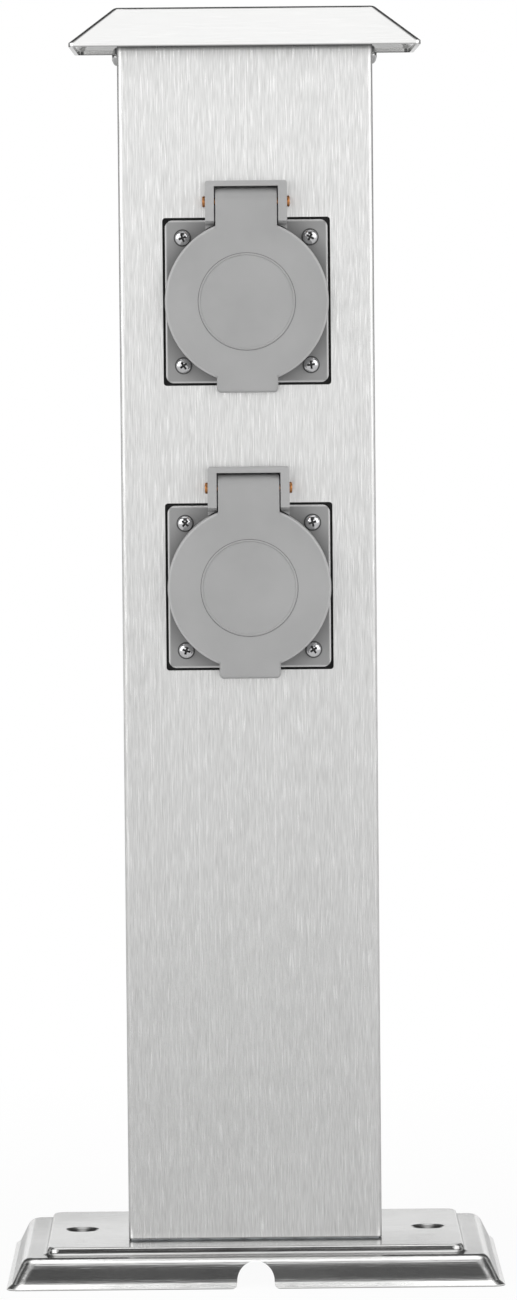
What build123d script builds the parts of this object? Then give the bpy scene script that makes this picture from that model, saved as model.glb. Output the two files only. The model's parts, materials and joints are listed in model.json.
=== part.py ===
from build123d import *
import os
from math import cos, pi, radians, sin, sqrt, tan

# A garden socket post: a folded steel post with two lidded mains sockets, under a
# pressed roof and on a pressed foot. Millimetres, +Z up, the sockets face -Y, and the
# origin is on the ground under the middle of the foot.

# Cuts run past the surface by this much
overrun = 2.0

# Pressed foot
foot_width = 156.0
foot_depth = 106.0
foot_sheet = 1.0
foot_corner = 4.0
foot_lip_run = 1.5
foot_lip_height = 1.7
flare_run = 3.6
ledge_height = 9.3
ledge_corner = 5.0
ledge_round = 3.5
ledge_side = 6.95
ledge_end = 6.2
plateau_rise = 2.4
plateau_corner = 3.5
plateau_round = 0.9
riser_run = 0.7
ground_hole_inset = 10.0
ground_hole_radius = 2.75
dimple_radius = 5.6
dimple_depth = 1.5
notch_width = 11.7
notch_height = 8.1
notch_foot_round = 1.6

# Post, folded from sheet
post_width = 80.0
post_depth = 54.0
post_length = 381.2
post_sheet = 0.8
post_bend = 1.6
post_foot_gap = 0.6

# Roof, pressed from sheet
roof_overhang = 14.75
roof_end_overhang = 17.0
roof_top_margin = 0.55
roof_height = 12.5
roof_rim = 1.2
roof_sheet = 0.8
roof_drop = 6.0
roof_corner = 1.8
roof_round = 3.0
roof_bracket_depth = 30.0
roof_bracket_leg = 26.0
roof_bracket_sheet = 1.2
roof_screw_drop = 1.9

# Sockets
upper_socket_drop = 85.5
socket_pitch = 89.5
flange_screw_margin = 5.5
flange_corner = 2.4
flange_thickness = 3.0
flange_edge_round = 0.5
flange_proud = 0.6
cutout_gap = 0.8
cutout_corner = 1.0
flange_screw_gap = 0.28
gasket_thickness = 1.2
gasket_margin = 2.0
well_radius = 19.7
well_depth = 17.5
well_wall = 2.2
well_floor = 2.5
well_stand = 6.0
well_rib_width = 5.0
well_rib_height = 2.4
pin_hole_spacing = 19.0
pin_hole_radius = 2.8

# Lid and its hinge
lid_depth = 10.1
lid_gap = 0.4
lid_plate = 2.2
lid_skirt = 1.8
lid_round = 1.7
lid_tab_width = 19.2
lid_tab_corner = 1.4
finger_tab_reach = 2.8
finger_tab_thickness = 3.4
lid_ring_radius = 15.0
lid_ring_width = 0.4
lid_ring_height = 0.16
seal_round = 0.25
seal_overlap = 0.4
seal_skirt_gap = 1.5
seal_gap = 0.3
hinge_stand = 5.6
hinge_pin_radius = 1.25
hinge_pin_fit = 0.05
hinge_running_gap = 0.1
hinge_pin_stand = 0.9
hinge_rivet_radius = 1.75
barrel_gap = 0.45
hinge_side_gap = 0.4
hinge_ear = 2.8
hinge_top_wall = 1.7
hinge_back_wall = 1.7
hinge_post_gap = 0.2
hinge_front_step = 0.3
hinge_swing_gap = 0.35
spring_wire = 0.7
spring_pin_gap = 0.2
spring_turns = 5
spring_pitch = 1.2
spring_leg = 8.0
spring_clearance = 0.1
spring_window_gap = 0.6

# Live parts behind each socket
cap_depth = 16.0
cap_wall = 1.6
cap_gap = 0.1
cap_screw_inset = 2.0
cap_screw_angle = 47.3
cap_pillar_radius = 2.9
sleeve_radius = 3.6
sleeve_bore_radius = 2.5
sleeve_slit = 0.8
clamp_width = 7.6
clamp_height = 13.0
clamp_length = 6.6
clamp_wire_pitch = 6.4
wire_radius = 1.4
wire_gap = 0.15
earth_strap_width = 6.0
earth_strap_sheet = 0.8
earth_arm_width = 4.4
earth_arm_inset = 0.5
earth_tip_reach = 1.9
earth_tip_length = 4.0
earth_tip_setback = 3.0
earth_slot_gap = 0.3

# Carrier plate behind the post's face
carrier_sheet = 1.2
carrier_end = 10.5
carrier_leg = 12.0
carrier_hole_gap = 0.5

# Foot bracket, terminal block and earth stud inside the post
bracket_sheet = 1.5
bracket_leg = 22.0
bracket_side_gap = 2.0
tongue_margin = 1.5
tongue_height = 62.0
foot_screw_inset = 9.2
foot_screw_setback = 12.0
grommet_hole_radius = 8.0
grommet_flange = 2.0
grommet_bore_radius = 4.6
grommet_lip = 1.8
terminal_side_wall = 3.1
terminal_depth = 13.0
terminal_height = 20.0
terminal_pitch = 9.5
terminal_round = 1.0
tube_radius = 2.9
tube_bore_radius = 1.6
stud_radius = 2.5
stud_length = 15.0
stud_inset = 12.2
lug_sheet = 1.0
lug_radius = 4.6
lug_neck = 1.2
lug_barrel_radius = 2.4
lug_barrel_length = 7.0

# Screws and nuts
machine_screw_radius = 2.0
machine_head_radius = 3.6
machine_head_height = 2.2
nut_across_flats = 7.0
nut_height = 3.2
stud_nut_across_flats = 8.0
stud_nut_height = 2.7
flange_screw_radius = 1.4
flange_head_radius = 2.4
flange_head_height = 1.6
flange_screw_length = 9.0
roof_head_radius = 2.9
roof_head_height = 2.0
roof_screw_radius = 1.5
roof_screw_length = 8.0
cap_head_radius = 2.0
cap_head_height = 1.1
cap_screw_radius = 1.1
cap_screw_grip = 2.0
clamp_head_radius = 2.1
clamp_head_height = 1.6
clamp_screw_radius = 1.2
screw_hole_gap = 0.1
recess_width_share = 0.26
recess_reach_share = 0.62
recess_depth_share = 0.5
head_edge_share = 0.45

# Heights and depths that several pieces share
plateau_width = foot_width - 2 * (foot_lip_run + flare_run + ledge_side + riser_run)
plateau_depth = foot_depth - 2 * (foot_lip_run + flare_run + ledge_end + riser_run)
plateau_top = ledge_height + plateau_rise
plateau_underside = plateau_top - foot_sheet
ground_hole_spacing = plateau_width - 2 * ground_hole_inset
post_bottom = plateau_top + post_foot_gap
post_top = post_bottom + post_length
roof_width = post_width + 2 * roof_overhang
roof_depth = post_depth + 2 * roof_end_overhang
roof_run = roof_overhang - roof_top_margin
roof_bottom = post_top - roof_drop
roof_top = roof_bottom + roof_height
roof_ceiling = roof_top - roof_sheet
roof_screw_height = roof_bottom - roof_screw_drop
post_front = -post_depth / 2
post_inner_width = post_width - 2 * post_sheet
post_inner_back = post_depth / 2 - post_sheet
well_outer_radius = well_radius + well_wall
lid_radius = well_outer_radius + seal_overlap + seal_skirt_gap + lid_skirt
flange_screw_pitch = sqrt(2) * (lid_radius + flange_head_radius + flange_screw_gap)
flange_size = flange_screw_pitch + 2 * flange_screw_margin
flange_face = post_front - flange_proud
flange_back = flange_face + flange_thickness
carrier_front = flange_back + gasket_thickness
carrier_back = carrier_front + carrier_sheet
well_rim = flange_face - well_stand
well_bottom = well_rim + well_depth
well_back = well_bottom + well_floor
cap_inner_radius = well_outer_radius - cap_wall
cap_screw_across = (well_radius - cap_screw_inset) * cos(radians(cap_screw_angle))
cap_screw_up = (well_radius - cap_screw_inset) * sin(radians(cap_screw_angle))
cap_back = well_back + cap_depth
lid_front = flange_face - lid_gap - lid_depth
lid_back = flange_face - lid_gap
hinge_back_face = post_front - hinge_post_gap - hinge_back_wall
barrel_radius = (hinge_back_face - barrel_gap - lid_front) / 2
hinge_axis_depth = lid_front + barrel_radius
hinge_rise = lid_radius + hinge_stand
hinge_width = lid_tab_width + 2 * (hinge_side_gap + hinge_ear)
hinge_ceiling = hinge_rise + barrel_radius + barrel_gap
spring_radius = hinge_pin_radius + spring_pin_gap + spring_wire / 2
spring_outer_radius = spring_radius + spring_wire / 2
lid_tab_half = lid_tab_width / 2
hinge_pocket_half = lid_tab_half + hinge_side_gap
upper_socket_height = post_top - upper_socket_drop
lower_socket_height = upper_socket_height - socket_pitch
clamp_back = cap_back - cap_wall - cap_gap
clamp_front = clamp_back - clamp_length
bracket_top = plateau_top + bracket_sheet
foot_screw_across = post_inner_width - 2 * foot_screw_inset
foot_screw_deep = post_depth - 2 * foot_screw_setback
grommet_radius = grommet_hole_radius + grommet_flange
tongue_face = post_inner_back - bracket_side_gap - bracket_sheet
terminal_width = 2 * (terminal_pitch + tube_radius + terminal_side_wall)
tongue_width = terminal_width + 2 * tongue_margin
terminal_front = tongue_face - terminal_depth
terminal_middle = tongue_face - terminal_depth / 2
terminal_top = plateau_top + tongue_height
terminal_bottom = terminal_top - terminal_height
tube_seat = (tube_radius + tube_bore_radius) / 2
stud_across = post_inner_width / 2 - stud_inset
lug_height = bracket_top + stud_nut_height
lug_barrel_start = stud_across - lug_radius - lug_neck
pole_places = (-1, 0, 1)
socket_heights = {"upper": upper_socket_height, "lower": lower_socket_height}


def block(across, deep, up):
    """A box between a low and a high value along X, Y and Z."""
    spans = (across, deep, up)
    middle = [(low + high) / 2 for low, high in spans]
    return Pos(*middle) * Box(*[high - low for low, high in spans])


def rod(radius, start, end):
    """A round bar from one point to another."""
    line = Vector(*end) - Vector(*start)
    return Plane(origin=start, z_dir=line) * extrude(Circle(radius), line.length)


def deep_rod(radius, across, up, deep):
    """A round bar along Y, between two depths."""
    return rod(radius, (across, deep[0], up), (across, deep[1], up))


def square_prism(size, corner, middle, deep):
    """A square with round corners that faces -Y, between two depths."""
    face = Plane(origin=(0, deep[1], middle), z_dir=(0, -1, 0)) * RectangleRounded(size, size, corner)
    return extrude(face, deep[1] - deep[0])


def cut_flange_holes(piece, height, deep):
    """A piece with the holes for one flange's screws."""
    for across, up in flange_screw_places(height):
        piece -= deep_rod(flange_screw_radius + screw_hole_gap, across, up, deep)
    return piece


def form(levels):
    """A solid through rounded rectangles, each given as width, depth, corner and height."""
    outlines = [Pos(0, 0, height) * RectangleRounded(width, depth, corner)
                for width, depth, corner, height in levels]
    return loft(outlines, ruled=True)


def screw(head_radius, head_height, shank_radius, length):
    """A pan-head screw with its seat at the origin and its head along +Z, with a cross recess."""
    edge = head_height * head_edge_share
    outline = Polyline((0, head_height), (0, -length), (shank_radius, -length), (shank_radius, 0),
                       (head_radius, 0), (head_radius, edge))
    crown = SagittaArc((head_radius, edge), (0, head_height), edge / 2)
    solid = revolve(Plane.XZ * make_face(outline + crown), Axis.Z)
    depth = head_height * recess_depth_share
    reach = head_radius * recess_reach_share
    half = head_radius * recess_width_share / 2
    floor = (head_height - depth, head_height + overrun)
    return solid - block((-reach, reach), (-half, half), floor) - block((-half, half), (-reach, reach), floor)


def placed(solid, seat, outwards):
    """A screw or nut moved to its seat, with its head pointing outwards."""
    return Plane(origin=seat, z_dir=outwards) * solid


def nut(across_flats, height, bore_radius):
    """A hexagon nut that stands on the origin."""
    outline = RegularPolygon(across_flats / 2, 6, major_radius=False) - Circle(bore_radius)
    return extrude(outline, height)


def corners(across, deep):
    """The four corners of a rectangle about the middle."""
    return [(side * across / 2, end * deep / 2) for side in (-1, 1) for end in (-1, 1)]


def base_plate():
    """The pressed foot: a flared rim, a ledge and a raised plateau, all of one sheet."""
    rise = ledge_height - foot_lip_height
    lean = flare_run / rise
    side_wall = foot_sheet * sqrt(1 + lean ** 2)
    ledge_cut = foot_lip_run + flare_run
    ledge_width = foot_width - 2 * ledge_cut
    ledge_depth = foot_depth - 2 * ledge_cut
    lip_width = foot_width - 2 * foot_lip_run
    lip_depth = foot_depth - 2 * foot_lip_run
    outside = form([(foot_width, foot_depth, foot_corner, 0),
                    (foot_width, foot_depth, foot_corner, foot_sheet / 2),
                    (lip_width, lip_depth, foot_corner, foot_lip_height),
                    (ledge_width, ledge_depth, ledge_corner, ledge_height)])
    outside = fillet(outside.edges().group_by(Axis.Z)[-1], ledge_round)
    plateau_foot = (plateau_width + 2 * riser_run, plateau_depth + 2 * riser_run, plateau_corner + riser_run)
    raised = form([(*plateau_foot, ledge_height - foot_sheet), (*plateau_foot, ledge_height),
                   (plateau_width, plateau_depth, plateau_corner, plateau_top)])
    outside += fillet(raised.edges().group_by(Axis.Z)[-1], plateau_round)
    inner_foot = (lip_width - 2 * side_wall, lip_depth - 2 * side_wall, foot_corner)
    step = 2 * (side_wall - foot_sheet * lean)
    hollow = form([(*inner_foot, -overrun), (*inner_foot, foot_lip_height),
                   (ledge_width - step, ledge_depth - step, ledge_corner, ledge_height - foot_sheet)])
    hollow = fillet(hollow.edges().group_by(Axis.Z)[-1], ledge_round - foot_sheet / 2)
    inner_plateau = (plateau_width - 2 * foot_sheet, plateau_depth - 2 * foot_sheet, plateau_corner)
    hollow += form([(*inner_plateau, 0), (*inner_plateau, plateau_underside)])
    plate = outside - hollow
    for side in (-1, 1):
        middle = Pos(side * ground_hole_spacing / 2, 0, 0)
        funnel = middle * Pos(0, 0, plateau_top - dimple_depth)
        upright = Align.CENTER, Align.CENTER, Align.MIN
        dish = Cone(ground_hole_radius, dimple_radius, dimple_depth, align=upright)
        wall = Cone(ground_hole_radius + foot_sheet, dimple_radius + foot_sheet, dimple_depth, align=upright)
        plate += funnel * Pos(0, 0, -foot_sheet) * wall
        plate -= funnel * dish
        plate -= middle * rod(ground_hole_radius, (0, 0, 0), (0, 0, plateau_top + overrun))
    plate -= rod(grommet_hole_radius, (0, 0, 0), (0, 0, plateau_top + overrun))
    plate = cut_foot_holes(plate)
    front = -foot_depth / 2
    behind = front + ledge_cut + side_wall
    notch_round = notch_width / 2
    arch = notch_height - notch_round
    through = (front - overrun, behind)
    notch = block((-notch_round, notch_round), through, (-overrun, arch))
    notch += rod(notch_round, (0, front - overrun, arch), (0, behind, arch))
    foot = notch_round + notch_foot_round
    skirt = block((-foot, foot), through, (-overrun, notch_foot_round))
    for across in (-foot, foot):
        skirt -= rod(notch_foot_round, (across, front - overrun, notch_foot_round), (across, behind, notch_foot_round))
    return plate - notch - skirt


def cut_foot_holes(piece):
    """A piece with the holes for the foot's four screws."""
    for across, deep in corners(foot_screw_across, foot_screw_deep):
        piece -= rod(machine_screw_radius + screw_hole_gap, (across, deep, plateau_underside - overrun),
                     (across, deep, bracket_top + overrun))
    return piece


def post_tube():
    """The folded post, with a cut-out for each socket and a hole for each roof screw."""
    outside = RectangleRounded(post_width, post_depth, post_bend)
    inside = RectangleRounded(post_inner_width, post_depth - 2 * post_sheet, post_bend - post_sheet)
    tube = Pos(0, 0, post_bottom) * extrude(outside - inside, post_length)
    through = (post_front - overrun, post_front + post_sheet + overrun)
    for height in socket_heights.values():
        tube -= square_prism(flange_size + 2 * cutout_gap, cutout_corner, height, through)
    return tube - roof_screw_bore()


def roof_screw_bore():
    """The line of both roof screws, as a bar to cut away."""
    reach = post_width / 2 + overrun
    line = (-reach, 0, roof_screw_height), (reach, 0, roof_screw_height)
    return rod(roof_screw_radius + screw_hole_gap, *line)


def roof_form(wall):
    """The roof's outside where wall is 0, or the hollow that leaves this wall."""
    lean = roof_run / (roof_height - roof_rim)
    side_wall = wall * sqrt(1 + lean ** 2)
    rim = (roof_width - 2 * side_wall, roof_depth - 2 * side_wall, roof_corner)
    cut = 2 * (roof_run + side_wall - wall * lean)
    start = roof_bottom - (overrun if wall else 0)
    solid = form([(*rim, start), (*rim, roof_bottom + roof_rim),
                  (roof_width - cut, roof_depth - cut, roof_corner, roof_top - wall)])
    return fillet(solid.edges().group_by(Axis.Z)[-1], roof_round - wall)


def roof_cap():
    """The roof: sloping sides round a flat top, open underneath."""
    return roof_form(0) - roof_form(roof_sheet)


def channel(width, sheet, leg, bend):
    """The outline of a sheet folded into a U that opens downwards, with its top at 0."""
    outside = Pos(0, -leg / 2) * Rectangle(width, leg)
    outside = fillet(outside.vertices().group_by(Axis.Y)[-1], bend + sheet)
    inside = Pos(0, -(leg + sheet) / 2) * Rectangle(width - 2 * sheet, leg - sheet)
    inside = fillet(inside.vertices().group_by(Axis.Y)[-1], bend)
    return outside - inside


def roof_bracket():
    """The folded bracket under the roof, whose legs the roof screws hold inside the post."""
    outline = channel(post_inner_width, roof_bracket_sheet, roof_bracket_leg, roof_bracket_sheet)
    half = roof_bracket_depth / 2
    upright = Plane(origin=(0, half, roof_ceiling), x_dir=(1, 0, 0), z_dir=(0, -1, 0))
    return upright * extrude(outline, roof_bracket_depth) - roof_screw_bore()


def roof_screws():
    """One pan-head screw through each side of the post."""
    one = screw(roof_head_radius, roof_head_height, roof_screw_radius, roof_screw_length)
    return [placed(one, (side * post_width / 2, 0, roof_screw_height), (side, 0, 0)) for side in (-1, 1)]


def flange_screw_places(height):
    """Where a socket's four screws go, as X and Z."""
    return [(across, height + up) for across, up in corners(flange_screw_pitch, flange_screw_pitch)]


def socket_carrier():
    """The folded plate behind the post's face, to which both sockets are screwed."""
    margin = flange_size / 2 + carrier_end
    low = lower_socket_height - margin
    high = upper_socket_height + margin
    outline = channel(post_inner_width, carrier_sheet, carrier_leg, carrier_sheet)
    upright = Plane(origin=(0, carrier_front, low), x_dir=(-1, 0, 0), z_dir=(0, 0, 1))
    plate = upright * extrude(outline, high - low)
    through = (carrier_front - overrun, carrier_back + overrun)
    for height in socket_heights.values():
        plate -= deep_rod(well_outer_radius + carrier_hole_gap, 0, height, through)
        plate = cut_flange_holes(plate, height, through)
    return plate


def hinge_housing(height):
    """Two ears, a top and a back round the lid's hinge, cut clear of the swinging lid."""
    axis = height + hinge_rise
    half = hinge_width / 2
    front = lid_front + hinge_front_step
    top = height + hinge_ceiling + hinge_top_wall
    foot = height + flange_size / 2 - flange_thickness - flange_corner
    housing = block((-half, half), (front, post_front - hinge_post_gap), (foot, top))
    upright_edges = housing.edges().filter_by(Axis.Y).group_by(Axis.Z)[-1]
    housing = fillet(upright_edges, hinge_top_wall / 2)
    housing -= block((-hinge_pocket_half, hinge_pocket_half), (front - overrun, hinge_back_face),
                     (foot - overrun, height + hinge_ceiling))
    housing -= deep_rod(lid_radius + hinge_swing_gap, 0, height, (front - overrun, post_front + overrun))
    near = hinge_rise - sqrt(lid_radius ** 2 - hinge_pocket_half ** 2) - hinge_swing_gap
    swing = block((-hinge_width, hinge_width), (front - overrun, hinge_axis_depth), (foot - overrun, axis))
    housing -= swing - hinge_rod(near, height, hinge_width)
    return housing - hinge_rod(hinge_pin_radius + hinge_pin_fit, height, hinge_width)


def hinge_rod(radius, height, reach):
    """A round bar on the hinge axis, this far to both sides."""
    axis = height + hinge_rise
    return rod(radius, (-reach, hinge_axis_depth, axis), (reach, hinge_axis_depth, axis))


def socket_body(height):
    """The moulding of one socket: flange, plug well, guide ribs and hinge housing."""
    flange = square_prism(flange_size, flange_corner, height, (flange_face, flange_back))
    flange = fillet(flange.faces().sort_by(Axis.Y)[0].edges(), flange_edge_round)
    body = flange + hinge_housing(height)
    body += deep_rod(well_outer_radius, 0, height, (well_rim, well_back))
    body -= deep_rod(well_radius, 0, height, (well_rim - overrun, well_bottom))
    for side in (-1, 1):
        inner = side * (well_radius - well_rib_height)
        outer = side * (well_radius + well_wall / 2)
        half = well_rib_width / 2
        body += block(sorted((inner, outer)), (well_rim + well_wall, well_bottom + overrun / 2),
                      (height - half, height + half))
        through = (well_bottom - overrun, well_back + overrun)
        body -= deep_rod(pin_hole_radius, side * pin_hole_spacing / 2, height, through)
        slot_half = earth_arm_width / 2 + earth_slot_gap
        low = well_radius - well_wall
        high = well_radius + earth_arm_inset + earth_strap_sheet + earth_slot_gap
        span = sorted((height + side * low, height + side * high))
        body -= block((-slot_half, slot_half), (well_rim + earth_tip_setback, well_back + overrun), span)
        grip = (well_back - cap_screw_grip, well_back + overrun)
        seat = (side * cap_screw_across, height + side * cap_screw_up)
        body -= deep_rod(cap_screw_radius + screw_hole_gap, *seat, grip)
    return cut_flange_holes(body, height, (flange_face - overrun, flange_back + overrun))


def gasket(height):
    """The flat seal between a flange and the carrier plate, seen in the gap round the flange."""
    size = flange_size + 2 * (cutout_gap + gasket_margin)
    sheet = square_prism(size, flange_corner, height, (flange_back, carrier_front))
    through = (flange_back - overrun, carrier_front + overrun)
    sheet -= deep_rod(well_outer_radius + carrier_hole_gap, 0, height, through)
    return cut_flange_holes(sheet, height, through)


def flange_screws(height):
    """The four pan-head screws of one flange."""
    one = screw(flange_head_radius, flange_head_height, flange_screw_radius, flange_screw_length)
    return [placed(one, (across, flange_face, up), (0, -1, 0)) for across, up in flange_screw_places(height)]


def hinge_pin(height):
    """The pin through both ears, with a riveted end on each side."""
    axis = height + hinge_rise
    half = hinge_width / 2
    pin = hinge_rod(hinge_pin_radius, height, half)
    for side in (-1, 1):
        start = (side * half, hinge_axis_depth, axis)
        end = (side * (half + hinge_pin_stand), hinge_axis_depth, axis)
        head = rod(hinge_rivet_radius, start, end)
        rim = head.edges().sort_by(Axis.X)[-1 if side > 0 else 0]
        pin += fillet(rim, hinge_pin_stand / 2)
    return pin


def lid(height):
    """The lid: a dished disc with a skirt, a finger tab, and a hinge tab with two knuckles."""
    axis = height + hinge_rise
    disc = deep_rod(lid_radius, 0, height, (lid_back, lid_front))
    low = height - lid_radius - finger_tab_reach
    across = (-lid_tab_half, lid_tab_half)
    tab = block(across, (lid_front, lid_front + finger_tab_thickness), (low, height))
    tab = fillet(tab.edges().filter_by(Axis.Y).group_by(Axis.Z)[0], lid_tab_corner)
    solid = disc + tab
    front_edges = solid.faces().sort_by(Axis.Y)[0].edges()
    solid = fillet(front_edges, lid_round / 2)
    solid -= deep_rod(lid_radius - lid_skirt, 0, height, (lid_front + lid_plate, lid_back + overrun))
    skirt_limit = hinge_axis_depth + hinge_pin_radius
    solid -= block((-hinge_pocket_half, hinge_pocket_half), (skirt_limit, lid_back + overrun), (height, axis))
    solid += block(across, (lid_front, lid_front + lid_plate), (height + well_radius, axis))
    solid += hinge_rod(barrel_radius, height, lid_tab_half)
    raised = deep_rod(lid_ring_radius, 0, height, (lid_front - lid_ring_height, lid_front))
    raised -= deep_rod(lid_ring_radius - lid_ring_width, 0, height, (lid_front - overrun, lid_front))
    solid += raised
    solid -= hinge_rod(hinge_pin_radius + hinge_running_gap, height, hinge_width)
    return solid - spring_window(height)


def spring_window(height):
    """The space between the two knuckles for the spring and its lid leg."""
    axis = height + hinge_rise
    half = spring_half_length() + spring_window_gap
    window = hinge_rod(spring_outer_radius + spring_clearance, height, half)
    leg_end = axis - spring_leg - spring_window_gap
    behind = hinge_back_face + overrun
    window += block((-half, half), (hinge_axis_depth, behind), (leg_end, axis + barrel_radius + overrun))
    leg_front = hinge_axis_depth - spring_outer_radius - spring_clearance
    return window + block((-half, half), (leg_front, behind), (leg_end, axis))


def spring_half_length():
    """Half the width of the spring's coil."""
    return (spring_turns * spring_pitch + spring_wire) / 2


def lid_seal(height):
    """The soft ring bonded inside the lid, which closes on the well's rim."""
    start = lid_front + lid_plate
    end = well_rim - seal_gap
    ring = deep_rod(well_outer_radius + seal_overlap, 0, height, (start, end))
    ring -= deep_rod(well_radius - seal_overlap, 0, height, (start - overrun, end + overrun))
    return fillet(ring.edges().group_by(Axis.Y)[-1], seal_round)


def biarc(start, start_along, end, end_along):
    """Two arcs that join two points and keep both directions."""
    gap = end - start
    both = start_along + end_along
    spread = 2 * (1 - start_along.dot(end_along))
    reach = (sqrt(gap.dot(both) ** 2 + spread * gap.dot(gap)) - gap.dot(both)) / spread
    middle = (start + end + (start_along - end_along) * reach) / 2
    first = TangentArc(start, middle, tangent=start_along)
    second = TangentArc(middle, end, tangent=first % 1)
    return [first, second]


def coil_point(turn, height):
    """A point of the coil and the direction there, after this many turns."""
    angle = 2 * pi * turn
    axis = height + hinge_rise
    across = (turn - spring_turns / 2) * spring_pitch
    place = Vector(across, hinge_axis_depth + spring_radius * cos(angle), axis - spring_radius * sin(angle))
    turning = 2 * pi * spring_radius
    along = Vector(spring_pitch, -turning * sin(angle), -turning * cos(angle)).normalized()
    return place, along


def coil_gap():
    """The least gap from the coil to itself, measured on points."""
    steps = 48
    points = [coil_point(n / steps, 0)[0] for n in range(spring_turns * steps + 1)]
    apart = [(a - b).length for i, a in enumerate(points) for b in points[i + steps // 2:]]
    return min(apart) - spring_wire


def lid_spring(height):
    """The torsion spring on the pin: one leg on the housing's back, one on the lid."""
    stations = [coil_point(n / 4, height) for n in range(2, 4 * spring_turns + 1)]
    arcs = []
    for (start, start_along), (end, end_along) in zip(stations, stations[1:]):
        arcs += biarc(start, start_along, end, end_along)
    first, first_along = stations[0]
    last, last_along = stations[-1]
    lid_leg = Line(first - first_along * spring_leg, first)
    bend_end = last + last_along * spring_radius + Vector(0, spring_radius / 2, 0)
    back_turn = TangentArc(last, bend_end, tangent=last_along)
    leave = back_turn % 1
    room = hinge_back_face - spring_wire / 2 - spring_clearance - bend_end.Y
    housing_leg = Line(bend_end, bend_end + leave * (room - spring_wire / 2) / leave.Y)
    path = Wire([lid_leg.edge(), *[arc.edge() for arc in arcs], back_turn.edge(), housing_leg.edge()])
    section = Plane(origin=path @ 0, z_dir=path % 0) * Circle(spring_wire / 2)
    return sweep(section, path=path)


def clamp_block(across, height):
    """A terminal for two wires, behind a socket."""
    half = clamp_width / 2
    rise = clamp_height / 2
    solid = block((across - half, across + half), (clamp_front, clamp_back), (height - rise, height + rise))
    middle = (clamp_front + clamp_back) / 2
    for side in (-1, 1):
        up = height + side * clamp_wire_pitch / 2
        solid -= deep_rod(wire_radius + wire_gap, across, up, (clamp_front + cap_wall, clamp_back + overrun))
        end = height + side * (rise + overrun)
        solid -= rod(clamp_screw_radius + screw_hole_gap, (across, middle, up), (across, middle, end))
    return solid


def clamp_screws(height):
    """The screws that hold the wires in a socket's three terminals."""
    rise = clamp_height / 2
    length = rise - clamp_wire_pitch / 2 - wire_radius - wire_gap
    one = screw(clamp_head_radius, clamp_head_height, clamp_screw_radius, length)
    middle = (clamp_front + clamp_back) / 2
    return [placed(one, (pole * pin_hole_spacing / 2, middle, height + side * rise), (0, 0, side))
            for pole in pole_places for side in (-1, 1)]


def pin_contact(side, height):
    """A split sleeve behind one pin hole, with its terminal."""
    across = side * pin_hole_spacing / 2
    solid = deep_rod(sleeve_radius, across, height, (well_back, clamp_front + cap_wall))
    solid += clamp_block(across, height)
    solid -= deep_rod(sleeve_bore_radius, across, height, (well_back - overrun, clamp_front))
    slit = sleeve_slit / 2
    return solid - block((across - slit, across + slit), (well_back - overrun, clamp_front - cap_wall),
                         (height, height + sleeve_radius + overrun))


def earth_clip(height):
    """The earth strap: a clip at the top and the bottom of the well, and a terminal."""
    half = earth_arm_width / 2
    inner = well_radius + earth_arm_inset
    outer = inner + earth_strap_sheet
    strap_back = well_back + earth_strap_sheet
    strap_half = earth_strap_width / 2
    front = well_rim + earth_tip_setback + earth_slot_gap
    rise = sqrt(cap_inner_radius ** 2 - strap_half ** 2) - cap_gap
    strap = block((-strap_half, strap_half), (well_back, strap_back), (height - rise, height + rise))
    strap += block((-half, half), (well_back, strap_back), (height - outer, height + outer))
    for side in (-1, 1):
        span = sorted((height + side * inner, height + side * outer))
        strap += block((-half, half), (front, strap_back), span)
        hump = [(front, inner), (front + earth_tip_length / 2, inner - earth_tip_reach),
                (front + earth_tip_length, inner)]
        points = [(-half, deep, height + side * up) for deep, up in hump]
        face = make_face(Polyline(*points, close=True))
        strap += extrude(face, earth_arm_width, dir=(1, 0, 0))
    strap += block((-sleeve_slit, sleeve_slit), (strap_back - overrun / 4, clamp_front + cap_wall),
                   (height - sleeve_radius, height + sleeve_radius))
    return strap + clamp_block(0, height)


def back_cap(height):
    """The cover over a socket's live parts, with holes for the wires."""
    whole = deep_rod(well_outer_radius, 0, height, (well_back, cap_back))
    cap = fillet(whole.edges().group_by(Axis.Y)[-1], cap_wall / 2)
    cap -= deep_rod(cap_inner_radius, 0, height, (well_back - overrun, cap_back - cap_wall))
    for side in (-1, 1):
        seat = (side * cap_screw_across, height + side * cap_screw_up)
        cap += whole & deep_rod(cap_pillar_radius, *seat, (well_back, cap_back - cap_wall / 2))
        cap -= deep_rod(cap_screw_radius + screw_hole_gap, *seat, (well_back - overrun, cap_back + overrun))
        notch_half = earth_arm_width / 2 + earth_slot_gap
        notch_deep = (well_back - overrun, well_back + earth_strap_sheet + cap_gap)
        inner = height + side * (cap_inner_radius - overrun)
        outer = height + side * (well_outer_radius + overrun)
        cap -= block((-notch_half, notch_half), notch_deep, sorted((inner, outer)))
    through = (cap_back - cap_wall - overrun, cap_back + overrun)
    for pole in pole_places:
        for side in (-1, 1):
            up = height + side * clamp_wire_pitch / 2
            cap -= deep_rod(wire_radius + wire_gap, pole * pin_hole_spacing / 2, up, through)
    return cap


def cap_screws(height):
    """The two screws that hold a back cap on the moulding."""
    length = cap_depth + cap_screw_grip - screw_hole_gap
    one = screw(cap_head_radius, cap_head_height, cap_screw_radius, length)
    return [placed(one, (side * cap_screw_across, cap_back, height + side * cap_screw_up), (0, 1, 0))
            for side in (-1, 1)]


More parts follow.
